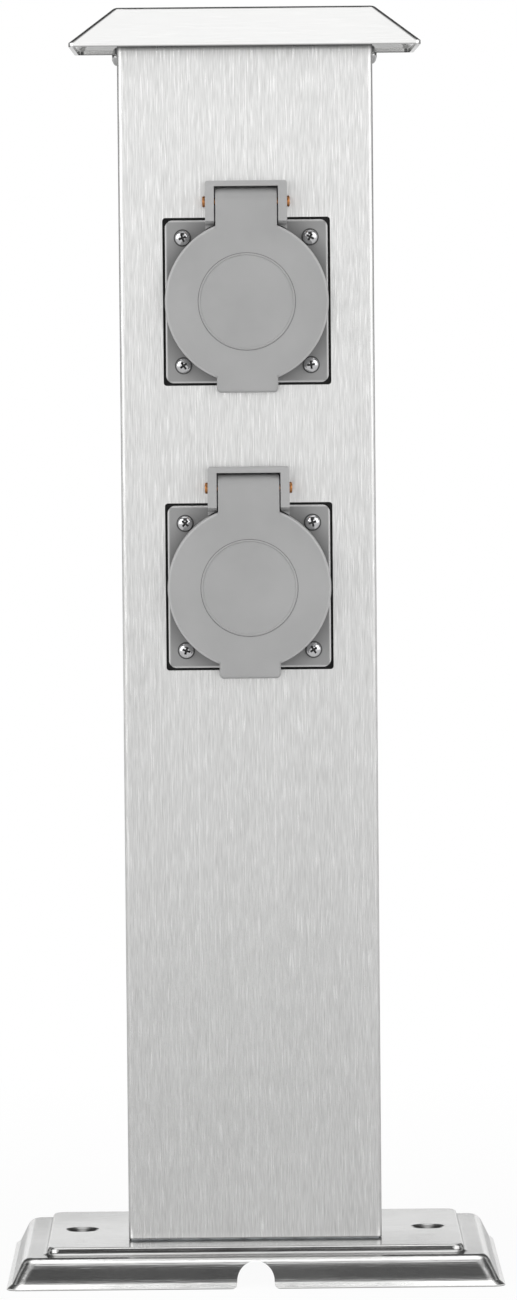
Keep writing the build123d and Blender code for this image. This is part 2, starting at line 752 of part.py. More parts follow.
def foot_bracket():
    """The bracket on the plateau that holds the post's foot and carries the terminal block."""
    half = post_inner_width / 2
    front = -(post_inner_back - bracket_side_gap)
    back = post_inner_back - bracket_side_gap
    bracket = block((-half, half), (front, back), (plateau_top, bracket_top))
    for side in (-1, 1):
        wall = sorted((side * half, side * (half - bracket_sheet)))
        bracket += block(wall, (front, back), (plateau_top, plateau_top + bracket_leg))
    tongue_half = tongue_width / 2
    tongue = block((-tongue_half, tongue_half), (tongue_face, back), (plateau_top, terminal_top))
    bracket += fillet(tongue.edges().filter_by(Axis.Y).group_by(Axis.Z)[-1], bracket_side_gap)
    bracket -= rod(grommet_hole_radius, (0, 0, 0), (0, 0, bracket_top + overrun))
    return cut_foot_holes(bracket)


def foot_screws():
    """The four screws up through the plateau and the foot bracket."""
    length = foot_sheet + bracket_sheet + nut_height + lug_sheet
    one = screw(machine_head_radius, machine_head_height, machine_screw_radius, length)
    return [placed(one, (across, deep, plateau_underside), (0, 0, -1))
            for across, deep in corners(foot_screw_across, foot_screw_deep)]


def foot_nuts():
    """The nuts of the foot screws, inside the post."""
    one = nut(nut_across_flats, nut_height, machine_screw_radius + screw_hole_gap)
    return [placed(one, (across, deep, bracket_top), (0, 0, 1))
            for across, deep in corners(foot_screw_across, foot_screw_deep)]


def cable_grommet():
    """The rubber ring where the ground cable comes up through the foot."""
    low = plateau_underside
    rim = grommet_radius - grommet_lip / 2
    below = low - grommet_lip
    above = bracket_top + grommet_lip
    profile = Polyline((grommet_bore_radius, below), (rim, below), (grommet_radius, low),
                       (grommet_hole_radius, low), (grommet_hole_radius, bracket_top),
                       (grommet_radius, bracket_top), (rim, above), (grommet_bore_radius, above), close=True)
    return revolve(Plane.XZ * make_face(profile), Axis.Z)


def terminal_block():
    """The moulded block where the ground cable's cores meet the sockets' wires."""
    half = terminal_width / 2
    solid = block((-half, half), (terminal_front, tongue_face), (terminal_bottom, terminal_top))
    solid = fillet(solid.edges().filter_by(Axis.Z), terminal_round)
    for pole in pole_places:
        across = pole * terminal_pitch
        solid -= rod(tube_radius, (across, terminal_middle, terminal_bottom - overrun),
                     (across, terminal_middle, terminal_top + overrun))
        for up in clamp_levels():
            deep = (terminal_front - overrun, terminal_middle)
            solid -= deep_rod(clamp_head_radius + screw_hole_gap, across, up, deep)
    return solid


def clamp_levels():
    """The heights of the terminal block's two rows of screws."""
    quarter = terminal_height / 4
    return (terminal_bottom + quarter, terminal_top - quarter)


def terminal_tubes():
    """The three brass tubes inside the terminal block."""
    tubes = []
    for pole in pole_places:
        across = pole * terminal_pitch
        tube = rod(tube_radius, (across, terminal_middle, terminal_bottom + cap_wall),
                   (across, terminal_middle, terminal_top - cap_wall))
        tube -= rod(tube_bore_radius, (across, terminal_middle, terminal_bottom),
                    (across, terminal_middle, terminal_top))
        for up in clamp_levels():
            deep = (terminal_front, terminal_middle)
            tube -= deep_rod(clamp_screw_radius + screw_hole_gap, across, up, deep)
            flat = (terminal_front, terminal_middle - tube_seat)
            tube -= block((across - tube_radius, across + tube_radius), flat,
                          (up - clamp_head_radius, up + clamp_head_radius))
        tubes.append(tube)
    return tubes


def terminal_screws():
    """The six screws in the front of the terminal block."""
    length = tube_seat - wire_radius - screw_hole_gap
    one = screw(clamp_head_radius, clamp_head_height, clamp_screw_radius, length)
    return [placed(one, (pole * terminal_pitch, terminal_middle - tube_seat, up), (0, -1, 0))
            for pole in pole_places for up in clamp_levels()]


def earth_stud():
    """The welded stud on the foot bracket."""
    stud = rod(stud_radius, (stud_across, 0, bracket_top), (stud_across, 0, bracket_top + stud_length))
    return fillet(stud.edges().group_by(Axis.Z)[-1], stud_radius / 4)


def earth_nuts():
    """The nuts below and above the earth lug."""
    one = nut(stud_nut_across_flats, stud_nut_height, stud_radius + screw_hole_gap)
    return [placed(one, (stud_across, 0, low), (0, 0, 1)) for low in (bracket_top, lug_height + lug_sheet)]


def earth_lug():
    """The ring lug on the earth stud, with the barrel that holds the bond wire."""
    lug_top = lug_height + lug_sheet
    ring = rod(lug_radius, (stud_across, 0, lug_height), (stud_across, 0, lug_top))
    ring -= rod(stud_radius + screw_hole_gap, (stud_across, 0, lug_height - overrun),
                (stud_across, 0, lug_top + overrun))
    middle = lug_height + lug_barrel_radius
    start = lug_barrel_start
    neck = block((start - lug_neck, stud_across - stud_radius - lug_sheet),
                 (-lug_barrel_radius, lug_barrel_radius), (lug_height, lug_top))
    barrel = rod(lug_barrel_radius, (start - lug_barrel_length, 0, middle), (start, 0, middle))
    barrel -= rod(wire_radius + wire_gap, (start - lug_barrel_length - overrun, 0, middle),
                  (start + overrun, 0, middle))
    return ring + neck + barrel


def wire(name, points):
    """A wire along straight runs that meet in arcs as large as the runs allow."""
    run_share = 0.45
    places = [Vector(*point) for point in points]
    runs = [after - before for before, after in zip(places, places[1:])]
    radii = []
    for before, after in zip(runs, runs[1:]):
        half_turn = radians(before.get_angle(after) / 2)
        radii.append(run_share * min(before.length, after.length) / tan(half_turn))
    path = FilletPolyline(*places, radius=radii)
    section = Plane(origin=path @ 0, z_dir=path % 0) * Circle(wire_radius)
    tube = sweep(section, path=path.wire())
    print(name, "bend radii", [round(radius, 1) for radius in radii],
          "length", round(path.length, 1), "volume over section times length",
          round(tube.volume / (pi * wire_radius ** 2 * path.length), 4))
    return tube


def wire_end(pole, height, side):
    """Where a wire meets a socket's terminal."""
    up = height + side * clamp_wire_pitch / 2
    return (pole * pin_hole_spacing / 2, clamp_front + cap_wall + wire_gap, up)


def upper_wire(name, pole):
    """A wire from the lower socket's terminal up to the same one of the upper socket."""
    start = wire_end(pole, lower_socket_height, 1)
    end = wire_end(pole, upper_socket_height, -1)
    rise = end[2] - start[2]
    room = post_inner_back - cap_back
    away_shares = (0.45, 0.74, 0.70, 0.45)
    rise_shares = (0.0, 0.24, 0.72, 1.0)
    sway_shares = (0.0, 0.05, -0.04, 0.0)
    between = [(start[0] + sway * room, cap_back + away * room, start[2] + up * rise)
               for away, up, sway in zip(away_shares, rise_shares, sway_shares)]
    return wire(name, [start, *between, end])


def lower_wire(name, pole):
    """A wire from the terminal block up to the lower socket's terminal."""
    start = (pole * terminal_pitch, terminal_middle, terminal_top - cap_wall - tube_bore_radius)
    end = wire_end(pole, lower_socket_height, -1)
    rise = end[2] - start[2]
    room = post_inner_back - cap_back
    lean = cap_back + room / 2 - start[1]
    away_shares = (0.0, 0.7, 1.2, 1.1, 0.8)
    rise_shares = (0.16, 0.38, 0.62, 0.86, 1.0)
    sway_shares = (0.0, -0.05, 0.05, -0.03, 0.0)
    between = [(start[0] + sway * room, start[1] + away * lean, start[2] + up * rise)
               for away, up, sway in zip(away_shares, rise_shares, sway_shares)]
    return wire(name, [start, *between, end])


def bond_wire():
    """The earth wire from the terminal block's middle pole down to the lug."""
    start = (0, terminal_middle, terminal_bottom + cap_wall + tube_bore_radius)
    end = (lug_barrel_start - lug_sheet, 0, lug_height + lug_barrel_radius)
    drop = start[2] - end[2]
    reach = end[0]
    deep = start[1]
    across_shares = (0.0, 0.05, 0.3)
    drop_shares = (0.35, 0.78, 1.0)
    deep_shares = (1.0, 0.55, 0.0)
    between = [(across * reach, share * deep, start[2] - fall * drop)
               for across, fall, share in zip(across_shares, drop_shares, deep_shares)]
    return wire("earth_bond_wire", [start, *between, end])


def write(name, pieces):
    """Writes one node: a single piece, or a group of separate ones."""
    group = pieces if isinstance(pieces, list) else [pieces]
    solids = [solid for piece in group for solid in piece.solids()]
    export_step(Compound(solids) if len(solids) > 1 else solids[0], f"parts/{name}.step")


def main():
    os.makedirs("parts", exist_ok=True)
    write("base_plate", base_plate())
    write("foot_bracket", foot_bracket())
    write("foot_screws", foot_screws())
    write("foot_nuts", foot_nuts())
    write("cable_grommet", cable_grommet())
    write("post_tube", post_tube())
    write("roof_cap", roof_cap())
    write("roof_bracket", roof_bracket())
    write("roof_screws", roof_screws())
    write("socket_carrier", socket_carrier())
    write("terminal_block", terminal_block())
    write("terminal_tubes", terminal_tubes())
    write("terminal_screws", terminal_screws())
    write("earth_stud", earth_stud())
    write("earth_nuts", earth_nuts())
    write("earth_lug", earth_lug())
    write("earth_bond_wire", bond_wire())
    for name, height in socket_heights.items():
        write(f"{name}_socket_body", socket_body(height))
        write(f"{name}_gasket", gasket(height))
        write(f"{name}_flange_screws", flange_screws(height))
        write(f"{name}_hinge_pin", hinge_pin(height))
        write(f"{name}_lid_spring", lid_spring(height))
        write(f"{name}_lid", lid(height))
        write(f"{name}_lid_seal", lid_seal(height))
        write(f"{name}_live_contact", pin_contact(-1, height))
        write(f"{name}_neutral_contact", pin_contact(1, height))
        write(f"{name}_earth_clip", earth_clip(height))
        write(f"{name}_clamp_screws", clamp_screws(height))
        write(f"{name}_back_cap", back_cap(height))
        write(f"{name}_cap_screws", cap_screws(height))
    for pole, core in zip(pole_places, ("live", "earth", "neutral")):
        write(f"lower_{core}_wire", lower_wire(f"lower_{core}_wire", pole))
        write(f"upper_{core}_wire", upper_wire(f"upper_{core}_wire", pole))
    print("least gap of the spring's coil to itself", round(coil_gap(), 3))


main()
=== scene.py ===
import json
import math

import bmesh
import bpy
from mathutils import Euler, Matrix, Vector


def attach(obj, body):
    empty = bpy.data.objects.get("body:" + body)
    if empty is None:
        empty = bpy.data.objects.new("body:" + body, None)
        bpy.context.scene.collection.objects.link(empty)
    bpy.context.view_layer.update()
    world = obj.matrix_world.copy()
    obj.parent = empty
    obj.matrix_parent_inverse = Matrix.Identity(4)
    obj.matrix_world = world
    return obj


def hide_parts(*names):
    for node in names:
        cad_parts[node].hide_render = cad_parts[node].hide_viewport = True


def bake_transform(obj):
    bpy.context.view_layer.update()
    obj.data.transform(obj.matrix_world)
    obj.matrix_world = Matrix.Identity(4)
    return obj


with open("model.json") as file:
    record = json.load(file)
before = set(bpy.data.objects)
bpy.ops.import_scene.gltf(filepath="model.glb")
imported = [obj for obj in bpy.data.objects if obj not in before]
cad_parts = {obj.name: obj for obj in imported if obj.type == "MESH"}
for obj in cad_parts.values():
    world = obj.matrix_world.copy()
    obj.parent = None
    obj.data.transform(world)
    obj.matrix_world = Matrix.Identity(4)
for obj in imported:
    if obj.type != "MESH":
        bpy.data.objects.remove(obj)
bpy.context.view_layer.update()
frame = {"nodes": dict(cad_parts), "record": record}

# Places that several pieces share, in metres: the sockets' heights, the hinge's rise above its socket, and depths
MM = 0.001
SOCKETS = {"upper": 0.308, "lower": 0.2185}
HINGE_RISE = 31.2 * MM
HINGE_DEPTH = -33.725 * MM
FLANGE_FACE = -27.6 * MM
LID_FACE = -38.1 * MM


# Shader helpers

def group(name, inputs, outputs):
    """An empty shader node group with named sockets, and its two end nodes."""
    made = bpy.data.node_groups.new(name, "ShaderNodeTree")
    for label, kind, value in inputs:
        socket = made.interface.new_socket(label, in_out="INPUT", socket_type=kind)
        if value is not None:
            socket.default_value = value
    for label, kind in outputs:
        made.interface.new_socket(label, in_out="OUTPUT", socket_type=kind)
    start = made.nodes.new("NodeGroupInput")
    end = made.nodes.new("NodeGroupOutput")
    return made, start, end


def node(tree, kind, **settings):
    """A new node with these settings. Numbered inputs are given as in_0, in_1 and so on."""
    made = tree.nodes.new(kind)
    for key, value in settings.items():
        if key.startswith("in_"):
            made.inputs[int(key[3:])].default_value = value
        else:
            setattr(made, key, value)
    return made


def feed(tree, value, entry):
    """Links a socket to an input, or writes a plain value there."""
    if hasattr(value, "is_linked"):
        tree.links.new(value, entry)
    else:
        entry.default_value = value


def math_node(tree, operation, first, second=None, clamp=False):
    """A math node on sockets or numbers, and its output."""
    made = node(tree, "ShaderNodeMath", operation=operation, use_clamp=clamp)
    feed(tree, first, made.inputs[0])
    if second is not None:
        feed(tree, second, made.inputs[1])
    return made.outputs[0]


def product(tree, *factors):
    """Sockets and numbers multiplied in turn."""
    result = factors[0]
    for factor in factors[1:]:
        result = math_node(tree, "MULTIPLY", result, factor)
    return result


def stretch(tree, place, scale):
    """Coordinates multiplied by a vector, given as a socket or three numbers."""
    made = node(tree, "ShaderNodeVectorMath", operation="MULTIPLY")
    tree.links.new(place, made.inputs[0])
    feed(tree, scale, made.inputs[1])
    return made.outputs[0]


def axes(tree, place):
    """The three numbers of a place, each as an output."""
    made = node(tree, "ShaderNodeSeparateXYZ")
    tree.links.new(place, made.inputs[0])
    return made.outputs


def noise(tree, place, scale, detail=2.0, rough=0.5):
    """Noise between 0 and 1, at a scale given as a socket or a number."""
    made = node(tree, "ShaderNodeTexNoise")
    feed(tree, scale, made.inputs["Scale"])
    made.inputs["Detail"].default_value = detail
    made.inputs["Roughness"].default_value = rough
    tree.links.new(place, made.inputs["Vector"])
    return made.outputs["Fac"]


def spread(tree, value, low, high, new_low=0.0, new_high=1.0):
    """A value moved from one range to another and held inside it."""
    made = node(tree, "ShaderNodeMapRange", in_1=low, in_2=high, in_3=new_low, in_4=new_high)
    tree.links.new(value, made.inputs[0])
    return made.outputs[0]


def fade_in(tree, value, first, second):
    """A mask that grows from 0 at one place to 1 at a second, both in millimetres."""
    return spread(tree, value, first * MM, second * MM)


def blend_colour(tree, mask, first, second):
    """The first colour where a mask is 0 and the second where it is 1. Each is a socket or three numbers."""
    made = node(tree, "ShaderNodeMix", data_type="RGBA")
    tree.links.new(mask, made.inputs[0])
    for index, value in ((6, first), (7, second)):
        feed(tree, value if hasattr(value, "is_linked") else (*value[:3], 1.0), made.inputs[index])
    return made.outputs[2]


def shaded(colour, factor):
    """A colour made lighter or darker."""
    return [value * factor for value in colour]


# Finishes that several materials share

def brushed_grain():
    """Fine brush lines: a height, and masks for tone and slow streaks. Stretch sets the direction."""
    made, start, end = group(
        "brushed_grain",
        [("Place", "NodeSocketVector", None), ("Stretch", "NodeSocketVector", (1.0, 1.0, 0.02)),
         ("Fine", "NodeSocketFloat", 5600.0)],
        [("Height", "NodeSocketFloat"), ("Tone", "NodeSocketFloat"), ("Streak", "NodeSocketFloat")])
    lines = stretch(made, start.outputs["Place"], start.outputs["Stretch"])
    dashes = noise(made, lines, start.outputs["Fine"])
    long_lines = noise(made, lines, scale=4600.0, detail=1.0, rough=0.6)
    broad = noise(made, lines, scale=150.0, detail=3.0)
    height = math_node(made, "ADD", dashes, product(made, long_lines, 0.5))
    scratches = spread(made, noise(made, lines, scale=2700.0, detail=0.0), 0.6, 0.74)
    longest = noise(made, stretch(made, lines, start.outputs["Stretch"]), scale=2400.0, detail=0.0)
    scratches = math_node(made, "MAXIMUM", scratches, spread(made, longest, 0.72, 0.8))
    tone = spread(made, math_node(made, "ADD", dashes, long_lines), 0.55, 1.45, 0.0, 0.85)
    tone = math_node(made, "ADD", tone, product(made, scratches, 0.4), clamp=True)
    made.links.new(height, end.inputs["Height"])
    made.links.new(tone, end.inputs["Tone"])
    made.links.new(spread(made, broad, 0.3, 0.75), end.inputs["Streak"])
    return made


def hand_marks():
    """Slow smudges, as a mask from handling and weather."""
    made, start, end = group(
        "hand_marks", [("Place", "NodeSocketVector", None), ("Size", "NodeSocketFloat", 30.0)],
        [("Mask", "NodeSocketFloat")])
    slow = noise(made, start.outputs["Place"], start.outputs["Size"], detail=4.0)
    made.links.new(spread(made, slow, 0.4, 0.7), end.inputs["Mask"])
    return made


def moulded_skin():
    """The fine eroded skin of moulded plastic: a height and a mottle."""
    made, start, end = group(
        "moulded_skin", [("Place", "NodeSocketVector", None), ("Fine", "NodeSocketFloat", 2200.0)],
        [("Height", "NodeSocketFloat"), ("Mottle", "NodeSocketFloat")])
    fine = noise(made, start.outputs["Place"], start.outputs["Fine"])
    slow = noise(made, start.outputs["Place"], scale=45.0, detail=3.0, rough=0.55)
    made.links.new(fine, end.inputs["Height"])
    made.links.new(spread(made, slow, 0.35, 0.68), end.inputs["Mottle"])
    return made


# Where each mask of the sockets' painted highlights and painted shade is 0 and where it is 1, in millimetres from a
# socket's middle
FLANGE_EDGE = (24.8, 25.3)
LID_RIM_INSIDE = (24.8, 25.2)
LID_RIM_OUTSIDE = (25.7, 25.4)
LID_TAB_SIDE = (9.7, 10.5)
LID_PAINTED_SHADE = (31.0, 25.6)


def socket_painted_light():
    """Masks for painted highlights on the square flanges' edges and the round lids' rims, and for painted shade
    round the lids, from the place on the post.
    """
    made, start, end = group("socket_painted_light", [("Place", "NodeSocketVector", None)],
                             [("Square", "NodeSocketFloat"), ("Round", "NodeSocketFloat"),
                              ("Painted_Shade", "NodeSocketFloat")])
    across, _, up = axes(made, start.outputs["Place"])
    pitch = SOCKETS["upper"] - SOCKETS["lower"]
    lifted = math_node(made, "SUBTRACT", up, SOCKETS["lower"] - pitch / 2)
    rise = math_node(made, "SUBTRACT", math_node(made, "MODULO", lifted, pitch), pitch / 2)
    aside = math_node(made, "ABSOLUTE", across)
    reach = math_node(made, "MAXIMUM", aside, math_node(made, "ABSOLUTE", rise))
    squares = math_node(made, "ADD", product(made, across, across), product(made, rise, rise))
    radius = math_node(made, "SQRT", squares)
    rim = product(made, fade_in(made, radius, *LID_RIM_INSIDE), fade_in(made, radius, *LID_RIM_OUTSIDE),
                  fade_in(made, aside, *LID_TAB_SIDE))
    made.links.new(fade_in(made, reach, *FLANGE_EDGE), end.inputs["Square"])
    made.links.new(rim, end.inputs["Round"])
    made.links.new(fade_in(made, radius, *LID_PAINTED_SHADE), end.inputs["Painted_Shade"])
    return made


GRAIN = brushed_grain()
EDGES = socket_painted_light()
MARKS = hand_marks()
SKIN = moulded_skin()


# Materials

def material(name, colour, metallic, roughness, **sockets):
    """A Principled material, its node tree, its shader and its object coordinates."""
    made = bpy.data.materials.new(name)
    made.use_nodes = True
    tree = made.node_tree
    shader = tree.nodes["Principled BSDF"]
    shader.inputs["Base Color"].default_value = (*colour, 1.0)
    shader.inputs["Metallic"].default_value = metallic
    shader.inputs["Roughness"].default_value = roughness
    for label, value in sockets.items():
        shader.inputs[label.replace("_", " ")].default_value = value
    place = node(tree, "ShaderNodeTexCoord").outputs["Object"]
    return made, tree, shader, place


def placed_group(tree, place, made, **values):
    """A group node in a material, with its own values."""
    used = node(tree, "ShaderNodeGroup", node_tree=made)
    tree.links.new(place, used.inputs["Place"])
    for label, value in values.items():
        used.inputs[label].default_value = value
    return used


def bump(tree, shader, height, strength, distance, pressed=None):
    """Fine relief on a shader, and under it a height in metres that the sheet was pressed to."""
    made = node(tree, "ShaderNodeBump")
    if pressed:
        under = node(tree, "ShaderNodeBump", in_0=1.0, in_1=1.0)
        tree.links.new(pressed, under.inputs["Height"])
        tree.links.new(under.outputs["Normal"], made.inputs["Normal"])
    made.inputs["Strength"].default_value = strength
    made.inputs["Distance"].default_value = distance
    tree.links.new(height, made.inputs["Height"])
    tree.links.new(made.outputs["Normal"], shader.inputs["Normal"])


def vary_roughness(tree, shader, mask, roughness, smoother, rougher):
    """A roughness that follows a mask, from a little smoother to a little rougher."""
    rough = spread(tree, mask, 0, 1, roughness - smoother, roughness + rougher)
    tree.links.new(rough, shader.inputs["Roughness"])


BAND_STRENGTH = 0.85
STREAK_STRENGTH = 0.12
SHEET_MARKS = 14.0
GRAIN_RELIEF = 0.05 * MM


def brushed_steel(name, dark, light, along, roughness, depth=0.12, fine=6400.0, turned=0.6, turn=0.0,
                  painted_bands=(), curves=()):
    """Brushed stainless sheet. Along is the stretch of the grain. A painted band fades in from one height to a
    second and paints a tone there, as painted light and shade. A curve tips the sheet up little by little from one
    height to a second, by a slope."""
    made, tree, shader, place = material(name, light, 1.0, roughness, Anisotropic=turned, Anisotropic_Rotation=turn)
    grain = placed_group(tree, place, GRAIN, Stretch=along, Fine=fine)
    marks = placed_group(tree, place, MARKS, Size=SHEET_MARKS)
    rise = axes(tree, place)[2]
    tone = blend_colour(tree, grain.outputs["Tone"], dark, light)
    tone = blend_colour(tree, product(tree, grain.outputs["Streak"], STREAK_STRENGTH), tone, light)
    # Painted light and shade in bands of height
    for first, second, shade in painted_bands:
        mask = product(tree, fade_in(tree, rise, first, second), BAND_STRENGTH)
        tone = blend_colour(tree, mask, tone, (shade, shade, shade * 0.99))
    tree.links.new(tone, shader.inputs["Base Color"])
    grainy = spread(tree, grain.outputs["Tone"], 0, 1, roughness + 0.05, roughness - 0.05)
    marked = product(tree, marks.outputs["Mask"], 0.06)
    tree.links.new(math_node(tree, "ADD", grainy, marked), shader.inputs["Roughness"])
    pressed = None
    for first, second, slope in curves:
        share = fade_in(tree, rise, first, second)
        height = product(tree, product(tree, share, share), slope * (first - second) / 2 * MM)
        pressed = math_node(tree, "ADD", pressed, height) if pressed else height
    bump(tree, shader, grain.outputs["Height"], depth, GRAIN_RELIEF, pressed)
    return made


SKIN_FINE = 2200.0
SKIN_DEPTH = 0.25
SKIN_RELIEF = 0.1 * MM
MOULDED_MARKS = 40.0
PLATED_MARKS = 260.0


def finish_skin(tree, shader, skin, mask, roughness):
    """The skin's fine relief, and a roughness that follows a mask."""
    vary_roughness(tree, shader, mask, roughness, smoother=0.04, rougher=0.06)
    bump(tree, shader, skin.outputs["Height"], SKIN_DEPTH, SKIN_RELIEF)


def moulded(name, colour, roughness, contrast=0.06, painted_rim_highlight=False):
    """Moulded plastic or rubber with a fine skin. A lid's rim gets a painted highlight."""
    made, tree, shader, place = material(name, colour, 0.0, roughness)
    skin = placed_group(tree, place, SKIN, Fine=SKIN_FINE)
    marks = placed_group(tree, place, MARKS, Size=MOULDED_MARKS)
    tone = blend_colour(tree, skin.outputs["Mottle"], shaded(colour, 1 - contrast), shaded(colour, 1 + contrast))
    if painted_rim_highlight:
        # A painted highlight along the lid's rim
        edges = placed_group(tree, place, EDGES)
        tone = blend_colour(tree, edges.outputs["Round"], tone, shaded(colour, 1.3))
    tree.links.new(tone, shader.inputs["Base Color"])
    finish_skin(tree, shader, skin, marks.outputs["Mask"], roughness)
    return made


# Depths in millimetres over which the flange's painted shade fades in, from the housing to the flange
HOUSING_TO_FLANGE = (-31.0, -27.8)
FLANGE_MOTTLE = 0.12


def socket_moulding(name, proud, painted_shade_colour, roughness):
    """The socket's moulding in its own colour on the hinge housing. The flange behind the lid gets painted shade,
    deepest towards the lid, and a painted highlight along its edge.
    """
    made, tree, shader, place = material(name, proud, 0.0, roughness)
    skin = placed_group(tree, place, SKIN, Fine=SKIN_FINE)
    edges = placed_group(tree, place, EDGES)
    # Painted shade: the flange, set back behind the hinge housing, is painted darker than the housing
    back = fade_in(tree, axes(tree, place)[1], *HOUSING_TO_FLANGE)
    level = math_node(tree, "ADD", back, product(tree, skin.outputs["Mottle"], FLANGE_MOTTLE),
                      clamp=True)
    # Painted shade that deepens towards the lid, then a painted highlight along the flange's edge
    painted_lid_shade = blend_colour(tree, edges.outputs["Painted_Shade"], shaded(painted_shade_colour, 1.15), shaded(painted_shade_colour, 0.7))
    painted_flange_light = blend_colour(tree, edges.outputs["Square"], painted_lid_shade, shaded(proud, 1.75))
    tree.links.new(blend_colour(tree, level, proud, painted_flange_light), shader.inputs["Base Color"])
    finish_skin(tree, shader, skin, skin.outputs["Mottle"], roughness)
    return made


def plated(name, colour, roughness, contrast=0.08):
    """Plated or bare small metal pieces, slightly uneven."""
    made, tree, shader, place = material(name, colour, 1.0, roughness)
    marks = placed_group(tree, place, MARKS, Size=PLATED_MARKS)
    tone = blend_colour(tree, marks.outputs["Mask"], colour, shaded(colour, 1 - contrast))
    tree.links.new(tone, shader.inputs["Base Color"])
    vary_roughness(tree, shader, marks.outputs["Mask"], roughness, smoother=0.03, rougher=0.08)
    return made


def striped_wire(name, first, second, roughness):
    """Insulation in two colours, in long stripes."""
    made, tree, shader, place = material(name, first, 0.0, roughness)
    across = noise(tree, stretch(tree, place, (1.0, 1.0, 0.03)), scale=900.0, detail=0.0)
    stripes = spread(tree, across, 0.49, 0.51)
    tree.links.new(blend_colour(tree, stripes, first, second), shader.inputs["Base Color"])
    return made


# The grain's stretch on sheet that was brushed upwards or across
ALONG_Z = (1.0, 1.0, 0.035)
ALONG_X = (0.03, 1.0, 1.0)

# Bands of painted light and shade on each sheet: two heights in millimetres and a shade
POST_BANDS = [
    (386.4, 387.8, 0.06),   # shade under the roof
    (12.75, 12.35, 0.06),   # painted shade line at the post's foot, where it meets the base
]
FOOT_BANDS = [
    (2.1, 1.7, 1.0),        # painted highlight on the lip
    (0.3, 0.1, 0.08),       # painted contact shadow along the lip's lower edge
    (7.6, 8.2, 0.95),       # painted highlight on the rounded crest
    (9.1, 9.25, 0.55),      # painted shade on the ledge
    (9.9, 10.2, 0.42),      # painted shade on the riser
    (11.2, 11.4, 0.82),     # painted light on the plateau
]
ROOF_BANDS = [(388.0, 387.5, 0.06)]     # painted shade along the roof's lower edge

# The slight hollow of the foot's flare: two heights in millimetres and a slope
FLARE_CURVES = [(3.6, 1.7, 0.16), (5.4, 7.5, 0.14)]

DARK_LINES = (0.46, 0.46, 0.455)
FINISHES = {
    "post_steel": brushed_steel("post_steel", DARK_LINES, (0.785, 0.785, 0.78), ALONG_Z, 0.27,
                                painted_bands=POST_BANDS),
    "foot_steel": brushed_steel("foot_steel", DARK_LINES, (0.76, 0.76, 0.755), ALONG_X, 0.17, depth=0.5,
                                fine=3000.0, turned=0.3, turn=0.25, painted_bands=FOOT_BANDS, curves=FLARE_CURVES),
    "roof_steel": brushed_steel("roof_steel", (0.7, 0.7, 0.695), (0.735, 0.735, 0.73), ALONG_X, 0.14,
                                depth=0.015, turned=0.1, painted_bands=ROOF_BANDS),
    "zinc_plate": plated("zinc_plate", (0.52, 0.54, 0.56), 0.42, 0.2),
    "bright_screw": plated("bright_screw", (0.62, 0.62, 0.63), 0.06),
    # A darker copy of the bright screws' finish: painted shade from the roof over the roof screws
    "roof_screw_painted_shade": plated("roof_screw_painted_shade", (0.45, 0.45, 0.45), 0.06),
    "recess_shade": moulded("recess_shade", (0.05, 0.05, 0.05), 0.5),
    # Painted shade for the crease beside each lid's ring
    "lid_crease_painted_shade": moulded("lid_crease_painted_shade", (0.17, 0.17, 0.17), 0.6),
    "zinc_fastener": plated("zinc_fastener", (0.6, 0.61, 0.62), 0.25),
    "grey_moulding": socket_moulding("grey_moulding", (0.385, 0.385, 0.385), (0.275, 0.275, 0.275), 0.38),
    "grey_lid": moulded("grey_lid", (0.365, 0.365, 0.365), 0.4, contrast=0.05, painted_rim_highlight=True),
    "black_rubber": moulded("black_rubber", (0.016, 0.016, 0.016), 0.6),
    "brass_pin": plated("brass_pin", (0.5, 0.22, 0.08), 0.3, 0.3),
    "contact_brass": plated("contact_brass", (0.78, 0.6, 0.28), 0.28),
    "spring_steel": plated("spring_steel", (0.5, 0.5, 0.5), 0.2),
    "tinned_lug": plated("tinned_lug", (0.68, 0.67, 0.64), 0.3),
    "dark_cap": moulded("dark_cap", (0.04, 0.04, 0.04), 0.45),
    "white_terminal": moulded("white_terminal", (0.75, 0.74, 0.7), 0.4),
    "brown_wire": moulded("brown_wire", (0.13, 0.055, 0.025), 0.35),
    "blue_wire": moulded("blue_wire", (0.03, 0.12, 0.42), 0.35),
    "earth_wire": striped_wire("earth_wire", (0.06, 0.28, 0.05), (0.75, 0.6, 0.04), 0.35),
}


def dress(piece, finish):
    """Gives a piece one finish."""
    piece.data.materials.clear()
    piece.data.materials.append(FINISHES[finish])


for part in frame["record"]["subparts"]:
    dress(frame["nodes"][part["node"]], part["material_slot"])


# Mesh helpers

def linked(name, data):
    """A new object in the scene."""
    made = bpy.data.objects.new(name, data)
    bpy.context.scene.collection.objects.link(made)
    return made


def add_piece(name, mesh, body):
    """A mesh as a piece that rides on a body."""
    piece = linked(name, mesh)
    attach(piece, body)
    return piece


def plain_mesh(name, verts, faces):
    """A mesh from points and faces."""
    mesh = bpy.data.meshes.new(name)
    mesh.from_pydata(verts, [], faces)
    return mesh


def faced_mesh(name, verts, faces):
    """A mesh whose faces are all turned outwards."""
    mesh = plain_mesh(name, verts, faces)
    bm = bmesh.new()
    bm.from_mesh(mesh)
    bmesh.ops.recalc_face_normals(bm, faces=bm.faces)
    bm.to_mesh(mesh)
    bm.free()
    return mesh


def strip(low, high, around):
    """The four-sided faces between two closed rings of points, given their first points' numbers."""
    return [(low + step, low + (step + 1) % around, high + (step + 1) % around, high + step)
            for step in range(around)]


